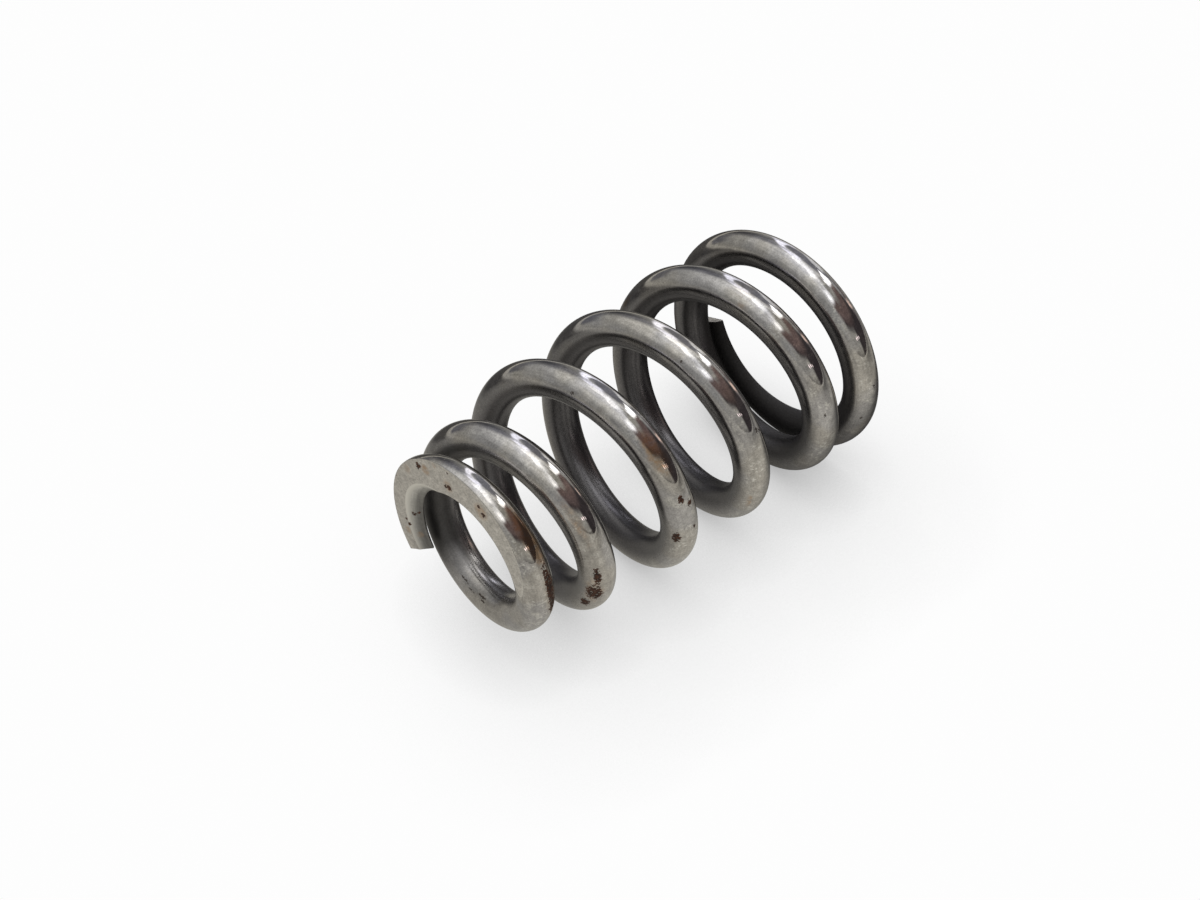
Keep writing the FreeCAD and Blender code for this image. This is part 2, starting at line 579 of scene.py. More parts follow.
# %% List the marks
RUST_PATCHES = {
    "strip on the first coil": (5.468, 2.24, -0.68, 2.6, 0.56),
    "end of that strip": (5.430, 2.15, -0.90, 1.5, 0.62),
    "patch on the second coil": (4.412, 1.48, 1.80, 1.25, 0.86),
    "flecks above it": (4.450, 1.82, 1.48, 1.2, 0.40),
    "its lower part": (4.372, 0.96, 2.14, 0.9, 0.50),
    "patch on the third coil": (3.442, 1.38, 1.89, 0.75, 0.50),
    "fleck above it": (3.502, 2.28, 0.56, 0.42, 0.36),
    "fleck beside it": (3.490, 2.30, -0.48, 0.36, 0.34),
    "specks below it": (3.452, 2.31, -0.40, 0.30, 0.24),
    "patch behind, second coil": (4.905, 1.90, -1.38, 1.1, 0.50),
    "patch behind, fourth coil": (2.880, 2.20, -0.80, 1.3, 0.45),
    "patch on the large end": (0.180, 1.70, 1.62, 0.9, 0.50),
}
BROWN_STAINS = {
    "film on the first coil": (5.570, 2.28, -0.50, 2.3, 0.75),
    "lower end of that film": (5.548, 2.24, -0.72, 2.0, 0.85, 0.9),
    "film on the second coil": (4.551, 1.90, 1.38, 2.6, 0.50, 0.45),
    "film on the third coil": (3.570, 2.26, 0.64, 2.2, 0.90, 0.75),
    "film round the rust": (4.415, 1.45, 1.85, 2.2, 1.00, 0.45),
    "film beside the rust strip": (5.450, 2.20, -0.80, 3.0, 0.90, 0.45),
    "thin film on the fourth coil": (2.405, 1.63, 1.67, 1.2, 0.30, 0.55),
    "thin film on the fifth coil": (1.666, 1.38, 1.88, 0.6, 0.30, 0.40),
    "film on the large end": (0.986, 1.18, 2.03, 1.4, 0.50, 0.60),
    "film above the large end": (1.884, 1.51, 1.80, 0.9, 0.40, 0.60),
    "film behind, second coil": (4.915, 1.95, -1.30, 2.2, 0.80, 0.70),
    "film behind, fourth coil": (2.890, 2.22, -0.75, 2.4, 0.80, 0.70),
}
DARK_PITS = {
    "scratch inside the first coil": (5.160, -1.45, 1.84, 0.80, 0.13),
    "second scratch there": (5.187, -1.24, 1.98, 0.60, 0.14),
    "third scratch there": (5.221, -1.57, 1.73, 0.90, 0.16),
    "fourth scratch there": (5.226, -1.20, 2.00, 0.50, 0.12),
    "pit on the third coil": (3.696, 1.17, 2.04, 0.26, 0.20),
    "pit on the fourth coil": (2.522, 2.26, -0.64, 0.45, 0.22),
    "pit beside it": (2.518, 2.04, -1.16, 0.30, 0.24),
    "small pit on the fourth coil": (2.647, 1.51, 1.80, 0.18, 0.18),
    "pit on the fifth coil": (1.481, 2.07, 1.10, 0.26, 0.20),
    "pit on the large end": (0.422, 1.85, 1.45, 0.26, 0.20),
    "second pit on the large end": (0.472, 2.35, 0.08, 0.26, 0.20),
}
# Painted shade: the flank beside the small tip is painted black where the tip shades it.
PAINTED_SHADE_MARKS = {
    "painted shade beside the small tip": (5.035, -0.50, 2.28, 4.2, 1.35, 1.0),
}
print("marks:", len(RUST_PATCHES) + len(BROWN_STAINS) + len(DARK_PITS) + len(PAINTED_SHADE_MARKS))

# %% [markdown]
# Every mark needs the same few sums, so they are made once, as a node group of their own. The
# coil's tree then holds one small node for each mark.

# %% A group that measures how near a mark is
MARK_NUMBERS = ["At Turn", "Across", "Level", "Half Length", "Half Width", "Strength"]
POINT_NUMBERS = ["Turn", "Length of a Turn", "Point Across", "Point Level"]
mark_tree = bpy.data.node_groups.new("nearness_to_a_mark", "GeometryNodeTree")
for name in MARK_NUMBERS + POINT_NUMBERS:
    mark_tree.interface.new_socket(name, in_out="INPUT", socket_type="NodeSocketFloat")
mark_tree.interface.new_socket("Nearness", in_out="OUTPUT", socket_type="NodeSocketFloat")
mark_in = mark_tree.nodes.new("NodeGroupInput")
mark_out = mark_tree.nodes.new("NodeGroupOutput")
mark_at, mark_across, mark_level, half_length, half_mark_width, strength = [
    output_of(mark_tree, mark_in, name) for name in MARK_NUMBERS
]
point_turn, length_of_turn, point_across, point_level = [
    output_of(mark_tree, mark_in, name) for name in POINT_NUMBERS
]
lengthwise = (point_turn - mark_at) * length_of_turn / half_length
sideways = (point_across - mark_across) / half_mark_width
upwards = (point_level - mark_level) / half_mark_width
mark_gap = (lengthwise * lengthwise + sideways * sideways + upwards * upwards).maths("SQRT")
MARK_ENDS_AT = 2.0
MARK_FADE = 1.5
nearness = smooth_step((MARK_ENDS_AT - mark_gap) / MARK_FADE) * strength
plug(mark_tree, nearness, mark_out.inputs["Nearness"])
print("nodes in the group:", len(mark_tree.nodes))

# %% Masks of all the marks
def nearness_to(mark):
    """1 in the middle of a mark and 0 well outside it."""
    node = coil_tree.nodes.new("GeometryNodeGroup")
    node.node_tree = mark_tree
    node.inputs["Strength"].default_value = 1.0
    for name, value in zip(MARK_NUMBERS, mark):
        plug(coil_tree, value, node.inputs[name])
    for name, value in zip(POINT_NUMBERS, (turn, round_slope, across_here, level_here)):
        plug(coil_tree, value, node.inputs[name])
    return output_of(coil_tree, node)


def mask_of(marks):
    """The marks of one list together."""
    mask, *others = [nearness_to(mark) for mark in marks.values()]
    for other in others:
        mask = mask.maths("MAXIMUM", other)
    return mask


finish_marks = vector_of(mask_of(RUST_PATCHES), mask_of(BROWN_STAINS), mask_of(DARK_PITS))
print("nodes in the coil's tree so far:", len(coil_tree.nodes))

# %% [markdown]
# Where two turns almost touch, near the ends, the steel between them is painted black as shade,
# except on the outside of the coil. The height of the centre line one turn further up or down says
# how wide that gap is.

# %% Painted shade between turns that almost touch
PAINTED_SHADE_GAP = 5.5
wire_diameter = size("Wire Diameter")
gap_above = (height_at(turn + 1.0) - height_at(turn)) / rise - wire_diameter
gap_below = (height_at(turn) - height_at(turn - 1.0)) / rise - wire_diameter
has_turn_above = share(total_turns - 1.0 - turn, -0.10, 0.08)
has_turn_below = share(turn, 1.0 - 0.10, 0.08)
inner_part = (across_here / wire_radius * -0.6).maths("MAXIMUM", 0.0)
level_share = level_here / wire_radius * 1.5
away_from_outside = smooth_step(0.9 - across_here / wire_radius * 1.2)
# Painted shade: black on the sides of the wire that face a close neighbouring turn.
painted_shade_above = smooth_step(1.0 - gap_above / PAINTED_SHADE_GAP) * smooth_step(inner_part + level_share)
painted_shade_below = smooth_step(1.0 - gap_below / PAINTED_SHADE_GAP) * smooth_step(inner_part - level_share)
painted_shade = painted_shade_above * has_turn_above + painted_shade_below * has_turn_below
painted_shade = (painted_shade * away_from_outside).maths("MAXIMUM", mask_of(PAINTED_SHADE_MARKS))
# The steel also needs the depth of the chamfer, so it travels with the painted shade.
wire_shade_and_chamfer = vector_of(painted_shade, chamfer_depth, 0.0)
print("grime starts where a gap is under", PAINTED_SHADE_GAP, "mm")

# %% Build the surface and keep its attributes
def stored(geometry, name, value):
    """Keep a vector field on every point under a name."""
    node = node_of(
        coil_tree,
        "GeometryNodeStoreNamedAttribute",
        {"data_type": "FLOAT_VECTOR", "domain": "POINT"},
        Name=name,
    )
    coil_tree.links.new(geometry, node.inputs["Geometry"])
    plug(coil_tree, value, node.inputs["Value"])
    return node.outputs["Geometry"]


surface = flat_grid.outputs["Mesh"]
surface = stored(surface, "wire_place", wire_place)
surface = stored(surface, "finish_shares", finish_shares)
surface = stored(surface, "finish_marks", finish_marks)
surface = stored(surface, "wire_shade_and_chamfer", wire_shade_and_chamfer)
set_place = node_of(coil_tree, "GeometryNodeSetPosition")
coil_tree.links.new(surface, set_place.inputs["Geometry"])
plug(coil_tree, place, set_place.inputs["Position"])
MERGE_DISTANCE = 0.000001
merge = node_of(coil_tree, "GeometryNodeMergeByDistance", Distance=MERGE_DISTANCE)
coil_tree.links.new(set_place.outputs["Geometry"], merge.inputs["Geometry"])
smooth = node_of(coil_tree, "GeometryNodeSetShadeSmooth")
coil_tree.links.new(merge.outputs["Geometry"], smooth.inputs["Geometry"])
real = node_of(coil_tree, "GeometryNodeRealizeInstances")
coil_tree.links.new(smooth.outputs["Geometry"], real.inputs["Geometry"])
set_steel = node_of(coil_tree, "GeometryNodeSetMaterial")
coil_tree.links.new(real.outputs["Geometry"], set_steel.inputs["Geometry"])
coil_tree.links.new(tree_in.outputs["Steel"], set_steel.inputs["Material"])
coil_tree.links.new(set_steel.outputs["Geometry"], tree_out.inputs["Geometry"])
print("nodes in the coil's tree:", len(coil_tree.nodes))

# %% [markdown]
# ## Worn spring steel
#
# The real wire is hard steel that was tumbled bright and has been used. It mirrors the room in
# soft streaks. Close up it has a fine grain, faint waves and a mottled grey tarnish. A finish like
# this could be painted on an image, but patterns worked out from the place on the surface stay
# sharp at any distance, so the whole finish is made of them.

# %% Start the steel and read its places
steel = bpy.data.materials.new("worn_spring_steel")
steel.use_nodes = True
steel_tree = steel.node_tree
steel_tree.nodes.clear()


def parts_of(tree, socket):
    """The three numbers of a vector socket, as fields."""
    node = tree.nodes.new("ShaderNodeSeparateXYZ")
    tree.links.new(socket, node.inputs[0])
    return [output_of(tree, node, axis) for axis in ("X", "Y", "Z")]


def kept_on_wire(name):
    """An attribute that the coil's tree stored on every point."""
    node = node_of(steel_tree, "ShaderNodeAttribute", {"attribute_name": name})
    return parts_of(steel_tree, node.outputs["Vector"])


along_wire, across_wire, level_wire = kept_on_wire("wire_place")
cut_flat, chamfered, cut_off = kept_on_wire("finish_shares")
rust_mask, stain_mask, pit_mask = kept_on_wire("finish_marks")
# Painted shade between turns, and the chamfer's depth.
painted_shade, chamfer_depth = kept_on_wire("wire_shade_and_chamfer")[:2]
object_place = node_of(steel_tree, "ShaderNodeTexCoord")
place_x, place_y, place_z = parts_of(steel_tree, object_place.outputs["Object"])
print("started", steel.name)

# %% [markdown]
# Most of the patterns are noise at one size or another. A helper makes one from three lengths in
# millimetres, so a pattern can be the same in all directions or drawn out along one of them.

# %% A helper for noise
NOISE_SPREAD = 8.0


def noise(x, y, z, size_mm, detail=2.0, roughness=0.5):
    """Soft noise around 0, mostly between -1 and 1, from three lengths in mm."""
    vector = node_of(steel_tree, "ShaderNodeCombineXYZ", X=x, Y=y, Z=z)
    node = node_of(
        steel_tree,
        "ShaderNodeTexNoise",
        Scale=1.0 / size_mm,
        Detail=detail,
        Roughness=roughness,
    )
    steel_tree.links.new(vector.outputs[0], node.inputs["Vector"])
    return (output_of(steel_tree, node, "Fac") - 0.5) * NOISE_SPREAD


def rise_between(x, low, high):
    """Smooth step from 0 at one value to 1 at another."""
    return smooth_step((x - low) / (high - low))


print("noise spreads over", NOISE_SPREAD, "before it is cut")

# %% Tarnish, mottle, smudges, bloom and a painted sheen
mm_x = place_x / MM
mm_y = place_y / MM
mm_z = place_z / MM
broad_tarnish = noise(mm_x, mm_y, mm_z, 6.0, detail=1.0)
mottle = noise(mm_x, mm_y, mm_z, 0.95, detail=4.0, roughness=0.62)
smudges = noise(along_wire * 0.14, across_wire, level_wire + 9.0, 1.0, detail=3.0, roughness=0.6)
bloom = rise_between(noise(mm_x, mm_y, mm_z + 40.0, 1.9, detail=4.0, roughness=0.7), 0.10, 1.20)
# Painted sheen: pale bloom and scuffs are stronger on the side of the coil that mirrors the bright
# bench.
SHEEN_SIDE_DIRECTION = math.radians(155.0)
SHEEN_SIDE_REACH = 14.0
sheen_side_mm = mm_x * math.cos(SHEEN_SIDE_DIRECTION) + mm_y * math.sin(SHEEN_SIDE_DIRECTION)
towards_sheen_side = sheen_side_mm / SHEEN_SIDE_REACH
painted_sheen_side = 0.25 + 0.60 * rise_between(towards_sheen_side, -0.2, 0.8)
print("noise for tarnish, mottle, smudges and pale bloom")

# %% [markdown]
# Wire is drawn through a die before it is coiled, so fine lines run along it. Noise that changes
# slowly along the wire and fast around it gives them. The same two places, along and round, also
# give the faint waves that make a reflection wander.

# %% Lines and waves along the wire
drawn_lines = noise(along_wire * 0.05, across_wire, level_wire, 0.28, detail=2.0)
waves = noise(along_wire * 0.45, across_wire, level_wire, 1.7, detail=1.0)
grain = noise(mm_x, mm_y, mm_z, 0.20, detail=1.0)
speckle = noise(mm_x + 7.0, mm_y, mm_z, 0.45, detail=3.0, roughness=0.6)
scuff_patch = rise_between(noise(mm_x, mm_y + 20.0, mm_z, 2.4, detail=1.0), 0.0, 0.9)
scuffs = scuff_patch * rise_between(speckle + mottle * 0.3, 0.25, 1.1)
print("noise for lines, waves, grain, speckle and scuffs")

# %% [markdown]
# The tumbled shine is on the outside of the coil. Stones and shot hardly reach its bore, so the
# inner side of the wire is darker and duller. How far outwards a point lies on the section tells
# the two apart. The bore of the first coil, at the small end, has stayed cleaner.

# %% Outside and bore
BRIGHT_UNTIL = 0.93
DARK_FROM = -0.42
outwards_share = across_wire / WIRE_RADIUS
bore_side = rise_between(-outwards_share, -BRIGHT_UNTIL, -DARK_FROM)
bore_side = bore_side * (1.0 - cut_flat)
CLEANER_BORE = (46.0, 52.0)
bore_tarnish = bore_side * (1.0 - 0.75 * rise_between(mm_z, *CLEANER_BORE))
print("the bore side is dark from", DARK_FROM, "of the wire's radius")

# %% [markdown]
# The grinding wheel leaves the end paler and duller, with short marks that run one way. The
# chamfer was turned with a cutting edge, so its marks run round the spring's axis. Where the two
# meet, a narrow band is rolled bright. The wire's own end was sheared off and is dark.

# %% Marks of the wheel and the cutting edge
WHEEL_ANGLE = math.radians(28.0)
wheel_long = mm_x * math.cos(WHEEL_ANGLE) + mm_y * math.sin(WHEEL_ANGLE)
wheel_side = mm_y * math.cos(WHEEL_ANGLE) - mm_x * math.sin(WHEEL_ANGLE)
wheel_marks = noise(wheel_long * 0.12, wheel_side, mm_z, 0.20, detail=2.0)
axis_distance = (mm_x * mm_x + mm_y * mm_y).maths("SQRT")
ring_marks = noise(axis_distance, along_wire * 0.06, mm_z, 0.40, detail=3.0, roughness=0.7)
worn_edge = (chamfered * (1.0 - chamfered)).maths("MAXIMUM", cut_flat * (1.0 - cut_flat)) * 4.0
ROLLED_MM = 0.55
ROLLED_BORDER = 0.06
beyond_rolled = rise_between(
    chamfer_depth + ring_marks * ROLLED_BORDER, ROLLED_MM - ROLLED_BORDER, ROLLED_MM
)
rolled = chamfered * (1.0 - beyond_rolled)
cut_marks = wheel_marks + chamfered * (ring_marks - wheel_marks)
print("noise for wheel and chamfer marks")

# %% [markdown]
# ## Rust, stains and pits
#
# Rust has a ragged edge and a rough crust. The soft masks that the coil carries become ragged when
# noise is added before the border is drawn. The marks on the ground end are finer than the mesh
# there, so they are measured in the steel itself. A few more small pits are scattered over the whole
# wire.

# %% Marks on the ground end
# Each mark: x and y of its middle in mm, its half size in mm and its strength.
END_FLECKS = [
    (4.11, -11.20, 0.36, 1.0),
    (4.42, -10.75, 0.24, 0.9),
    (-1.89, -11.91, 0.22, 0.8),
    (-1.45, -9.70, 0.34, 0.9),
    (-0.75, -9.75, 0.26, 0.9),
    (-6.70, -8.87, 0.26, 0.9),
    (-7.18, -7.84, 0.34, 0.9),
    (9.57, -1.89, 0.26, 0.9),
    (10.91, -1.03, 0.22, 0.9),
    (10.63, -0.27, 0.24, 0.9),
    (8.86, -2.10, 0.20, 0.8),
    (10.19, -7.91, 0.24, 0.8),
]
END_STAINS = [
    (2.81, -10.93, 0.60, 0.75),
    (7.05, -9.71, 0.55, 0.45),
    (-1.20, -9.90, 0.70, 0.60),
    (-6.90, -8.20, 0.95, 0.60),
    (0.60, -12.30, 0.35, 0.40),
    (11.30, 0.90, 0.50, 0.45),
    (9.60, 1.30, 0.40, 0.35),
]
UPPER_HALF_FROM = (40.0, 41.0)


def end_marks(marks):
    """How near a point of the small end is to any of the marks."""
    nearest = 0.0
    for mark_x, mark_y, half_size, strength in marks:
        from_x = mm_x - mark_x
        from_y = mm_y - mark_y
        gap = (from_x * from_x + from_y * from_y).maths("SQRT") / half_size
        near = smooth_step((MARK_ENDS_AT - gap) / MARK_FADE) * strength
        nearest = near.maths("MAXIMUM", nearest)
    return nearest * cut_flat * rise_between(mm_z, *UPPER_HALF_FROM)


rust_mask = rust_mask.maths("MAXIMUM", end_marks(END_FLECKS))
stain_mask = stain_mask.maths("MAXIMUM", end_marks(END_STAINS))
print("marks on the ground end:", len(END_FLECKS) + len(END_STAINS))

# %% Ragged borders
ragged = noise(mm_x, mm_y, mm_z, 0.30, detail=3.0, roughness=0.65)
rust = rise_between(rust_mask + ragged * 0.32 * rise_between(rust_mask, 0.0, 0.35), 0.52, 0.70)
stain = rise_between(stain_mask * (1.0 + mottle * 0.35 + ragged * 0.10), 0.05, 1.05)
pits = rise_between(pit_mask + ragged * 0.28 * rise_between(pit_mask, 0.0, 0.35), 0.55, 0.76)

print("ragged rust, stains and pits")

# %% Scattered small pits
SCATTER_MM = 2.6
scatter = node_of(
    steel_tree, "ShaderNodeTexVoronoi", {"feature": "F1"}, Scale=1.0 / (SCATTER_MM * MM)
)
steel_tree.links.new(object_place.outputs["Object"], scatter.inputs["Vector"])
scatter_gap = output_of(steel_tree, scatter, "Distance")
scatter_pick, _, scatter_depth = parts_of(steel_tree, scatter.outputs["Color"])
PICKED_ABOVE = 0.80
PIT_CORE = 0.025
PIT_FADE = 0.045
picked = rise_between(scatter_pick, PICKED_ABOVE, PICKED_ABOVE + 0.02)
off_pit = rise_between(scatter_gap + ragged * 0.012, PIT_CORE, PIT_CORE + PIT_FADE)
small_pits = picked * (1.0 - off_pit)
pits = pits.maths("MAXIMUM", small_pits * (0.35 + 0.65 * scatter_depth))
print("cells of scattered pits:", SCATTER_MM, "mm")

# %% [markdown]
# ## Colour, shine and relief
#
# The finishes are laid over each other like coats: bare steel first, then the ground and chamfered
# faces, the cut end, the painted black shade between turns, the brown film, the pits, and rust last.
# A small helper mixes a colour over what is below it.

# %% Colours in coats
def colour_over(under, share_of_it, colour):
    """One colour over another, as far as the share says."""
    node = node_of(steel_tree, "ShaderNodeMix", {"data_type": "RGBA", "clamp_factor": True})
    plug(steel_tree, share_of_it, node.inputs["Factor"])
    plug(steel_tree, under, node.inputs[6])
    plug(steel_tree, colour, node.inputs[7])
    return output_of(steel_tree, node, 2)


def dimmed(colour, amount):
    """A colour times a number."""
    node = node_of(steel_tree, "ShaderNodeVectorMath", {"operation": "SCALE"})
    plug(steel_tree, colour, node.inputs[0])
    plug(steel_tree, amount, node.inputs["Scale"])
    return output_of(steel_tree, node)


COOL_STEEL = (0.525, 0.515, 0.520)
OLIVE_STEEL = (0.552, 0.529, 0.500)
PALE_BLOOM_AND_SHEEN = (0.720, 0.704, 0.676)
SCUFFED_STEEL = (0.860, 0.850, 0.820)
BORE_STEEL = (0.172, 0.167, 0.174)
GROUND_STEEL = (0.690, 0.662, 0.622)
CHAMFER_STEEL = (0.985, 0.965, 0.915)
EDGE_STEEL = (0.980, 0.955, 0.890)
SHEARED_STEEL = (0.500, 0.480, 0.440)
BROWN_FILM = (0.500, 0.300, 0.145)
PAINTED_SHADE_BLACK = (0.026, 0.024, 0.023)
PIT_BROWN = (0.060, 0.042, 0.032)
DEEP_RUST = (0.036, 0.016, 0.010)
BRIGHT_RUST = (0.120, 0.050, 0.028)
print("colours are named for the steel, its grime and its rust")

# %% Bare steel of the wire
wire_colour = colour_over(COOL_STEEL, rise_between(broad_tarnish, -0.6, 0.7), OLIVE_STEEL)
# Bloom and scuffs are real mottling, made paler on one side as painted sheen.
wire_colour = colour_over(wire_colour, bloom * painted_sheen_side * (1.0 - bore_side), PALE_BLOOM_AND_SHEEN)
wire_mottle = (1.0 + 0.10 * mottle + 0.07 * smudges) * (1.0 + 0.05 * drawn_lines)
wire_colour = dimmed(wire_colour, wire_mottle)
wire_colour = colour_over(wire_colour, scuffs * painted_sheen_side * (1.0 - bore_side), SCUFFED_STEEL)
wire_colour = colour_over(wire_colour, bore_tarnish, BORE_STEEL)
wire_colour = dimmed(wire_colour, 1.0 + 0.09 * grain)
print("bare steel has tarnish, bloom, scuffs and a dark bore")

# %% Cut faces, painted shade, stains and rust
ground_mottle = (1.0 + 0.11 * mottle) * (1.0 + 0.10 * speckle)
ground_colour = dimmed(GROUND_STEEL, ground_mottle * (1.0 + 0.05 * wheel_marks + 0.06 * grain))
chamfer_colour = dimmed(CHAMFER_STEEL, (1.0 + 0.08 * speckle) * (1.0 + 0.12 * ring_marks))
cut_colour = colour_over(ground_colour, chamfered, chamfer_colour)
cut_colour = colour_over(cut_colour, rolled * 0.9, EDGE_STEEL)
cut_colour = colour_over(cut_colour, worn_edge * 0.8, EDGE_STEEL)
colour = colour_over(wire_colour, cut_flat, cut_colour)
colour = colour_over(colour, cut_off, dimmed(SHEARED_STEEL, 1.0 + 0.25 * mottle))
# Painted shade: black where turns almost touch and beside the small tip.
colour = colour_over(colour, painted_shade * 0.92 * (1.0 - cut_off), PAINTED_SHADE_BLACK)
colour = colour_over(colour, stain * 0.75, BROWN_FILM)
colour = colour_over(colour, pits * 0.85, PIT_BROWN)
rust_colour = colour_over(DEEP_RUST, rise_between(ragged + mottle * 0.4, -0.5, 1.1), BRIGHT_RUST)
colour = colour_over(colour, rust, rust_colour)
print("coats: cut faces, cut end, grime, film, pits, rust")

# %% [markdown]
# Shine is the opposite of roughness. Rust does not mirror at all, so it also stops being a metal to
# the shader. The relief is shallow: thousandths of a millimetre for waves and marks, and hundredths
# for pits and the crust of rust.

# %% Roughness, metal and relief
shine_loss = (
    0.062
    + 0.008 * mottle
    + 0.008 * smudges
    + 0.006 * drawn_lines
    + 0.035 * bloom
    + 0.140 * bore_side
    + 0.120 * bore_tarnish
    + 0.330 * cut_flat
    + 0.080 * chamfered
    + 0.300 * cut_off
    + 0.060 * stain
    + 0.260 * painted_shade
    + 0.300 * pits
)
SMOOTHEST = 0.05
ROUGHEST_STEEL = 0.70
RUST_ROUGHNESS = 0.86
shine_loss = shine_loss.maths("MAXIMUM", SMOOTHEST).maths("MINIMUM", ROUGHEST_STEEL)
surface_roughness = shine_loss + rust * (RUST_ROUGHNESS - shine_loss)
metal_share = (1.0 - rust * 0.95) * (1.0 - 0.25 * pits) * (1.0 - 0.5 * cut_off)
metal_share = metal_share * (1.0 - 0.35 * cut_flat) * (1.0 - 0.85 * chamfered)
# The painted shade is also rough and less of a metal, so it mirrors little.
metal_share = metal_share * (1.0 - 0.45 * painted_shade)

bare_share = 1.0 - cut_flat
relief_mm = (
    0.0045 * waves * bare_share * (1.0 - bore_side)
    + 0.0050 * cut_marks * cut_flat
    - 0.050 * pits
    + rust * (0.022 + 0.009 * ragged)
)
relief = node_of(steel_tree, "ShaderNodeBump", Strength=1.0, Distance=MM, Height=relief_mm)
print("relief in mm")

# %% Put the steel together
steel_out = steel_tree.nodes.new("ShaderNodeOutputMaterial")
steel_shader = steel_tree.nodes.new("ShaderNodeBsdfPrincipled")
plug(steel_tree, colour, steel_shader.inputs["Base Color"])
plug(steel_tree, surface_roughness, steel_shader.inputs["Roughness"])
plug(steel_tree, metal_share, steel_shader.inputs["Metallic"])
steel_tree.links.new(relief.outputs["Normal"], steel_shader.inputs["Normal"])
steel_tree.links.new(steel_shader.outputs["BSDF"], steel_out.inputs["Surface"])
print("nodes in the steel:", len(steel_tree.nodes))

# %% [markdown]
# ## The finished mesh
#
# The tree runs once on an empty object. Its sizes go in by the sockets' identifiers, and the result
# becomes a plain mesh, which is what other programs can use.

# %% Make the coil a plain mesh
bare_mesh = bpy.data.meshes.new("coil_start")
coil_maker = bpy.data.objects.new("coil_maker", bare_mesh)
bpy.context.scene.collection.objects.link(coil_maker)
coil_modifier = coil_maker.modifiers.new("coil", "NODES")
coil_modifier.node_group = coil_tree
for name, socket in size_sockets.items():
    coil_modifier[socket.identifier] = SPRING_SIZES[name]
coil_modifier[steel_socket.identifier] = steel
depsgraph = bpy.context.evaluated_depsgraph_get()
finished_coil = coil_maker.evaluated_get(depsgraph)
coil_mesh = bpy.data.meshes.new_from_object(finished_coil, depsgraph=depsgraph)
bpy.data.objects.remove(coil_maker)
coil_mesh.name = "valve_spring_wire"
coil_mesh.materials.clear()
coil_mesh.materials.append(steel)
spring = bpy.data.objects.new("valve_spring_wire", coil_mesh)
bpy.context.scene.collection.objects.link(spring)
print("points:", len(coil_mesh.vertices), "faces:", len(coil_mesh.polygons))
print("material slots:", [slot.material.name for slot in spring.material_slots])

# %% [markdown]
# ## The photograph's point of view
#
# In the frame the spring stands on its large end. In the photograph it lies on its side and is
# seen from above, so the camera is turned to match: three directions say where the picture's right,
# its depth and its upward direction lie in the frame.

# %% Directions of the photograph
PHOTO_YAW = math.radians(43.585)
PHOTO_TILT = math.radians(44.152)
PHOTO_SPIN = math.radians(107.569)
to_large_end = Vector((0.0, 0.0, -1.0))
photo_up = Vector((math.cos(PHOTO_SPIN), -math.sin(PHOTO_SPIN), 0.0))
photo_side = to_large_end.cross(photo_up)
photo_right = to_large_end * math.cos(PHOTO_YAW) + photo_side * math.sin(PHOTO_YAW)
photo_away = to_large_end * math.sin(PHOTO_YAW) - photo_side * math.cos(PHOTO_YAW)
print("up in the photograph:", [round(x, 3) for x in photo_up])

# %% Camera
CAMERA_DISTANCE = 0.27019
CAMERA_SHIFT_RIGHT = 0.003465
CAMERA_SHIFT_DOWN = -0.001171
LENS = 63.24
SENSOR_WIDTH = 36.0
LOOKED_AT = Vector((0.0, 0.0, 0.030))
looking = photo_away * math.cos(PHOTO_TILT) - photo_up * math.sin(PHOTO_TILT)
camera_down = looking.cross(photo_right)
camera_place = LOOKED_AT - (
    photo_right * CAMERA_SHIFT_RIGHT + camera_down * CAMERA_SHIFT_DOWN + looking * CAMERA_DISTANCE
)
camera_data = bpy.data.cameras.new("photo_camera")
camera_data.lens = LENS
camera_data.sensor_width = SENSOR_WIDTH
camera_data.clip_start = 0.005
camera_data.clip_end = 50.0
camera = bpy.data.objects.new("photo_camera", camera_data)
bpy.context.scene.collection.objects.link(camera)
turned_camera = Matrix((photo_right, -camera_down, -looking)).transposed().to_4x4()
camera.matrix_world = Matrix.Translation(camera_place) @ turned_camera
bpy.context.scene.camera = camera
print("camera at", [round(x, 4) for x in camera_place])

# %% [markdown]
# ## The floor that the spring lies on
#
# The photograph has a near-white ground with a small, soft shadow close to the spring. A plain
# white floor would need very strong light to come out white, and that light would spoil the steel.
# So the paint of the floor glows by itself, and it glows less where the spring hides the light from
# it: all round close to the steel, and further out on the side away from the windows. The spring
# lies on its full-size coils, so the floor runs level with its axis and the narrow end hangs a
# little above it. The floor is clear from behind, so that it never hides the spring.

# %% Place of the floor
LARGE_HALF = SPRING_SIZES["Large Outside Diameter"] / 2.0 * MM
SMALL_HALF = SPRING_SIZES["Small Outside Diameter"] / 2.0 * MM
FLOOR_GAP = 0.00005
FLOOR_HALF = 1.5
floor_long = Vector((0.0, 0.0, 1.0))
floor_side = floor_long.cross(photo_up)
floor_centre = LOOKED_AT - photo_up * (LARGE_HALF + FLOOR_GAP)


def floor_square(name):
    """A square mesh object where the floor lies, and the node tree of its paint."""
    mesh = bpy.data.meshes.new(name)
    steps = [(-1, -1), (1, -1), (1, 1), (-1, 1)]
    corners = [
        floor_centre + floor_side * (FLOOR_HALF * x) + floor_long * (FLOOR_HALF * y)
        for x, y in steps
    ]
    mesh.from_pydata(corners, [], [(0, 1, 2, 3)])
    item = bpy.data.objects.new(name, mesh)
    bpy.context.scene.collection.objects.link(item)
    paint = bpy.data.materials.new(name + "_paint")
    paint.use_nodes = True
    mesh.materials.append(paint)
    return item, paint.node_tree


floor, floor_tree = floor_square("floor")
print("the floor faces up:", floor.data.polygons[0].normal.dot(photo_up) > 0.9)

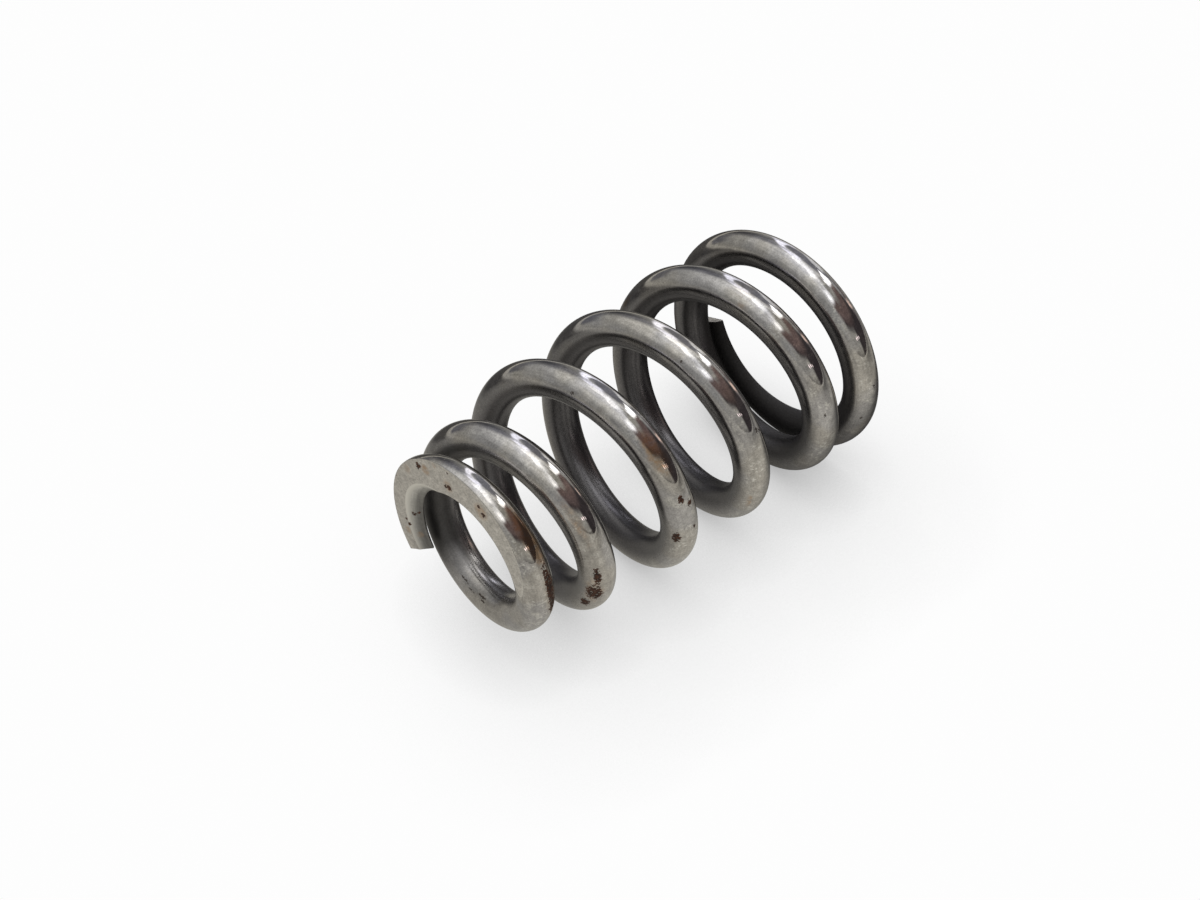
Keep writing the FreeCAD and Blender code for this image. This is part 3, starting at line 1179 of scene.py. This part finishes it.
# %% Glowing paint
FLOOR_WHITE = 0.985
CLOSE_SHADE = (0.010, 0.42)
WIDE_SHADE = (0.026, 0.42)
SHADE_RAYS = 4
from_windows = photo_up - photo_right * 0.55 + photo_away * 0.25
floor_tree.nodes.clear()


def shade_of(tree, reach_and_depth, seen_towards):
    """How much of the glow the spring takes away, with the light coming from one direction."""
    reach, depth = reach_and_depth
    node = node_of(tree, "ShaderNodeAmbientOcclusion", {"samples": SHADE_RAYS}, Distance=reach)
    way = seen_towards.normalized()
    light_way = node_of(tree, "ShaderNodeCombineXYZ", X=way.x, Y=way.y, Z=way.z)
    tree.links.new(light_way.outputs[0], node.inputs["Normal"])
    return (1.0 - output_of(tree, node, "AO")) * depth


close_shade = shade_of(floor_tree, CLOSE_SHADE, photo_up)
wide_shade = shade_of(floor_tree, WIDE_SHADE, from_windows)
floor_glow = (1.0 - close_shade) * (1.0 - wide_shade) * FLOOR_WHITE
front = node_of(floor_tree, "ShaderNodeEmission", Strength=floor_glow)


def mixed(tree, share_of_second, first, second):
    """Two shaders mixed by a share."""
    node = tree.nodes.new("ShaderNodeMixShader")
    plug(tree, share_of_second, node.inputs[0])
    tree.links.new(first.outputs[0], node.inputs[1])
    tree.links.new(second.outputs[0], node.inputs[2])
    return node


side_seen = node_of(floor_tree, "ShaderNodeNewGeometry")
clear = node_of(floor_tree, "ShaderNodeBsdfTransparent")
one_sided = mixed(floor_tree, output_of(floor_tree, side_seen, "Backfacing"), front, clear)
floor_out = floor_tree.nodes.new("ShaderNodeOutputMaterial")
floor_tree.links.new(one_sided.outputs[0], floor_out.inputs["Surface"])
floor.visible_glossy = False
floor.visible_diffuse = False
floor.visible_shadow = False
print("the floor is shaded within", WIDE_SHADE[0], "m of the spring")

# %% [markdown]
# The steel mirrors a greyer bench than the white one of the picture. A second square in the same
# place does that, and only the steel sees it. It glows too, and less where the spring hides the
# room from it. The card has soft dark spots where the steel mirrors something darker, and it grows
# a little darker further out.

# %% Grey card with dark spots
CARD_GREY = (0.985, 0.950, 0.855)
CARD_DARK = (0.130, 0.125, 0.120)
# Each dark spot: degrees from the photograph's depth, distance and half size in m, and darkness.
DARK_SPOTS = {
    "beyond the spring, left": (-34.0, 0.160, 0.125, 0.95),
    "beyond the spring, right": (40.0, 0.056, 0.040, 0.95),
    "far beyond the spring": (70.0, 0.450, 0.320, 0.60),
    "before the spring, left": (-155.0, 0.080, 0.060, 0.20),
}
card, card_tree = floor_square("card")
card_place = node_of(card_tree, "ShaderNodeTexCoord")
card_colour = node_of(card_tree, "ShaderNodeMix", {"data_type": "RGBA"})
FADED_AT = 0.120
FADED_BY = 0.28
card_reach = node_of(card_tree, "ShaderNodeVectorMath", {"operation": "DISTANCE"})
card_tree.links.new(card_place.outputs["Object"], card_reach.inputs[0])
card_middle = LOOKED_AT - photo_up * SMALL_HALF
card_reach.inputs[1].default_value = card_middle
darkness = smooth_step(output_of(card_tree, card_reach, "Value") / FADED_AT) * FADED_BY
for bearing, distance, half_size, depth in DARK_SPOTS.values():
    bearing = math.radians(bearing)
    spot_way = photo_away * math.cos(bearing) + photo_right * math.sin(bearing)
    spot_gap = node_of(card_tree, "ShaderNodeVectorMath", {"operation": "DISTANCE"})
    card_tree.links.new(card_place.outputs["Object"], spot_gap.inputs[0])
    spot_gap.inputs[1].default_value = card_middle + spot_way * distance
    spot_reach = output_of(card_tree, spot_gap, "Value") / half_size
    darkness = smooth_step(1.5 - spot_reach) * depth + darkness
plug(card_tree, darkness, card_colour.inputs["Factor"])
plug(card_tree, CARD_GREY, card_colour.inputs[6])
plug(card_tree, CARD_DARK, card_colour.inputs[7])
print("card of grey", CARD_GREY, "with dark spots:", len(DARK_SPOTS))

# %% Glow of the card
CARD_LIGHT = 0.65
CARD_SHADE = (0.035, 0.72)
card_tree.nodes.remove(card_tree.nodes["Principled BSDF"])
card_light = (1.0 - shade_of(card_tree, CARD_SHADE, photo_up)) * CARD_LIGHT
card_glow = node_of(card_tree, "ShaderNodeEmission", Strength=card_light)
plug(card_tree, output_of(card_tree, card_colour, 2), card_glow.inputs["Color"])
card_out = card_tree.nodes["Material Output"]
card_tree.links.new(card_glow.outputs[0], card_out.inputs["Surface"])
card.visible_camera = False
card.visible_shadow = False
print("the card glows at", CARD_LIGHT, "and is hidden from the camera:", not card.visible_camera)

# %% [markdown]
# ## Light of the room
#
# Polished steel shows the room rather than its own colour. The reflections in the photograph tell
# where that room is bright: a pale ceiling, two tall windows, a dark wall on the right and a few
# lamps. Soft panels of light give the same. Each one is placed by two angles: round the room from
# the photograph's depth direction, and up from the bench.

# %% Angles of the room
bpy.context.scene.view_settings.view_transform = "Standard"
world = bpy.data.worlds.new("studio")
bpy.context.scene.world = world
world.use_nodes = True
room_tree = world.node_tree
room_tree.nodes.clear()
direction = node_of(room_tree, "ShaderNodeTexCoord")


def towards(axis):
    """How far a ray points along one of the photograph's directions, from -1 to 1."""
    node = node_of(room_tree, "ShaderNodeVectorMath", {"operation": "DOT_PRODUCT"})
    room_tree.links.new(direction.outputs["Generated"], node.inputs[0])
    node.inputs[1].default_value = axis
    return output_of(room_tree, node, "Value")


SEAM_AWAY = 60.0
seam_turn = math.radians(SEAM_AWAY)
seam_right = photo_right * math.cos(seam_turn) - photo_away * math.sin(seam_turn)
seam_away = photo_away * math.cos(seam_turn) + photo_right * math.sin(seam_turn)
azimuth = towards(seam_right).maths("ARCTAN2", towards(seam_away)).maths("DEGREES")
elevation = towards(photo_up).maths("ARCSINE").maths("DEGREES")
room_angles = node_of(room_tree, "ShaderNodeCombineXYZ", X=azimuth, Y=elevation)
print("angles are measured from", SEAM_AWAY, "degrees")

# %% A panel and how it is laid over the room
def panel(centre, half_size, lean, softness):
    """A soft-edged rectangle on the room's walls, by the two angles in degrees."""
    placed = node_of(room_tree, "ShaderNodeMapping", {"vector_type": "TEXTURE"})
    room_tree.links.new(room_angles.outputs[0], placed.inputs["Vector"])
    placed.inputs["Location"].default_value = (centre[0] - SEAM_AWAY, centre[1], 0.0)
    placed.inputs["Rotation"].default_value = (0.0, 0.0, -math.radians(lean))
    folded = node_of(room_tree, "ShaderNodeVectorMath", {"operation": "ABSOLUTE"})
    room_tree.links.new(placed.outputs[0], folded.inputs[0])
    faded = node_of(
        room_tree,
        "ShaderNodeMapRange",
        {"data_type": "FLOAT_VECTOR", "interpolation_type": "SMOOTHSTEP"},
    )
    room_tree.links.new(folded.outputs[0], faded.inputs["Vector"])
    half = Vector((half_size[0], half_size[1], 0.0))
    soft = Vector((softness, softness, 0.0))
    faded.inputs[7].default_value = half + soft
    faded.inputs[8].default_value = half - soft
    faded.inputs[9].default_value = (0.0, 0.0, 0.0)
    faded.inputs[10].default_value = (1.0, 1.0, 1.0)
    across_it, up_it, _ = parts_of(room_tree, faded.outputs["Vector"])
    return across_it * up_it


def laid_over(under, mask, brightness, tint):
    """The room's light with a panel of another brightness over it."""
    node = node_of(room_tree, "ShaderNodeMix", {"data_type": "RGBA", "clamp_factor": True})
    plug(room_tree, mask, node.inputs["Factor"])
    plug(room_tree, under, node.inputs[6])
    node.inputs[7].default_value = (*[brightness * part for part in tint], 1.0)
    return output_of(room_tree, node, 2)


print("room helpers ready")

# %% Walls and ceiling by height
WARM = (1.03, 1.0, 0.91)
PALE = (1.01, 1.0, 0.955)
COOL = (0.97, 0.97, 1.06)
BROWN = (1.12, 0.95, 0.98)
RED = (1.30, 0.93, 0.85)
ORANGE = (1.25, 0.94, 0.80)
PINK = (1.15, 0.97, 0.95)
WHITE = (1.0, 1.0, 1.0)
WALL_LEVELS = [
    (-90, 0.0, WARM),
    (-3, 0.0, WARM),
    (-1, 0.38, WARM),
    (14, 0.38, PALE),
    (28, 0.41, PALE),
    (40, 0.58, PALE),
    (50, 0.72, PALE),
    (60, 0.78, PALE),
    (72, 0.90, WHITE),
    (90, 1.20, WHITE),
]
ramp = room_tree.nodes.new("ShaderNodeValToRGB")
ramp.color_ramp.interpolation = "EASE"
plug(room_tree, (elevation + 90.0) / 180.0, ramp.inputs[0])
while len(ramp.color_ramp.elements) < len(WALL_LEVELS):
    ramp.color_ramp.elements.new(0.5)
for stop, (height, brightness, tint) in zip(ramp.color_ramp.elements, WALL_LEVELS):
    stop.position = (height + 90.0) / 180.0
    stop.color = (*[brightness * part for part in tint], 1.0)
room = output_of(room_tree, ramp)
print("wall levels:", len(WALL_LEVELS))

# %% Panels over the walls
# Name: centre, half size, lean, softness of the edge, brightness and tint.
ROOM_PANELS = {
    "dark wall": ((112, 14), (52, 24), -3, 8, 0.045, BROWN),
    "upper dark wall": ((114, 43), (60, 13), -3, 8, 0.13, RED),
    "top of the dark wall": ((103, 60), (30, 9), 0, 7, 0.38, WARM),
    "foot of the dark wall": ((84, 2), (24, 7), 0, 4, 0.045, BROWN),
    "left foot of the wall": ((50, 2), (11, 10), 0, 4, 0.15, BROWN),
    "warm strip at its foot": ((54, 5), (2.2, 9), 40, 1.2, 0.75, ORANGE),
    "bench by the wall": ((152, 12), (28, 12), 0, 6, 0.38, WARM),
    "first lamp behind": ((118, 16), (1.4, 1.1), 0, 0.8, 2.2, PINK),
    "second lamp behind": ((128, 17), (1.8, 1.2), 0, 0.8, 2.6, PINK),
    "third lamp behind": ((138, 16), (2.0, 1.4), 0, 0.8, 2.4, PINK),
    "slate wall": ((-12, 8), (12, 28), 3, 12, 0.08, COOL),
    "upper slate wall": ((-13, 40), (14, 15), 3, 15, 0.25, COOL),
    "slate by the floor": ((-42, 4), (18, 9), 0, 7, 0.17, COOL),
    "shade between the windows": ((30, 36), (18, 24), 8, 6, 0.24, COOL),
    "ceiling by the windows": ((6, 65), (17, 11), 0, 6, 1.6, COOL),
    "ceiling above them": ((15, 76), (50, 6), 0, 6, 1.5, WHITE),
    "first window": ((9, 25), (3.6, 21), -15, 1.5, 1.75, COOL),
    "foot of the first window": ((14, 2), (6, 9), 0, 2, 0.95, COOL),
    "top of the first window": ((3, 50), (6, 6), -20, 3, 1.05, COOL),
    "side of the second window": ((31, 12), (4.5, 17), 25, 2, 0.90, WHITE),
    "second window": ((55, 41), (5.5, 13), 44, 1.5, 2.7, WHITE),
    "far end of that window": ((71, 53), (4.5, 9), 55, 2, 1.7, WHITE),
    "bar across that window": ((56, 42), (6, 0.9), 44, 0.7, 0.9, WHITE),
    "glow of the high lamp": ((160, 57), (26, 8), 16, 4, 1.1, WHITE),
    "high lamp": ((162, 55), (12, 5), 14, 3, 1.9, WHITE),
    "ceiling light": ((70, 94), (120, 18), 0, 6, 1.9, WHITE),
}
for centre, half_size, lean, softness, brightness, tint in ROOM_PANELS.values():
    room = laid_over(room, panel(centre, half_size, lean, softness), brightness, tint)
print("panels:", len(ROOM_PANELS))

# %% Join the room and the white backdrop
BACKDROP = (0.97, 0.97, 0.97)
light_of_room = node_of(room_tree, "ShaderNodeBackground", Strength=1.0)
plug(room_tree, room, light_of_room.inputs["Color"])
backdrop = node_of(room_tree, "ShaderNodeBackground", Strength=1.0, Color=BACKDROP)
sight = node_of(room_tree, "ShaderNodeLightPath")
seen_directly = output_of(room_tree, sight, "Is Camera Ray")
either = mixed(room_tree, seen_directly, light_of_room, backdrop)
room_out = room_tree.nodes.new("ShaderNodeOutputWorld")
room_tree.links.new(either.outputs[0], room_out.inputs["Surface"])
print("nodes in the room:", len(room_tree.nodes))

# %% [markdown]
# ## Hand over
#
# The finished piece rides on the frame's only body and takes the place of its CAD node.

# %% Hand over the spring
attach(spring, "root")
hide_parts("valve_spring")
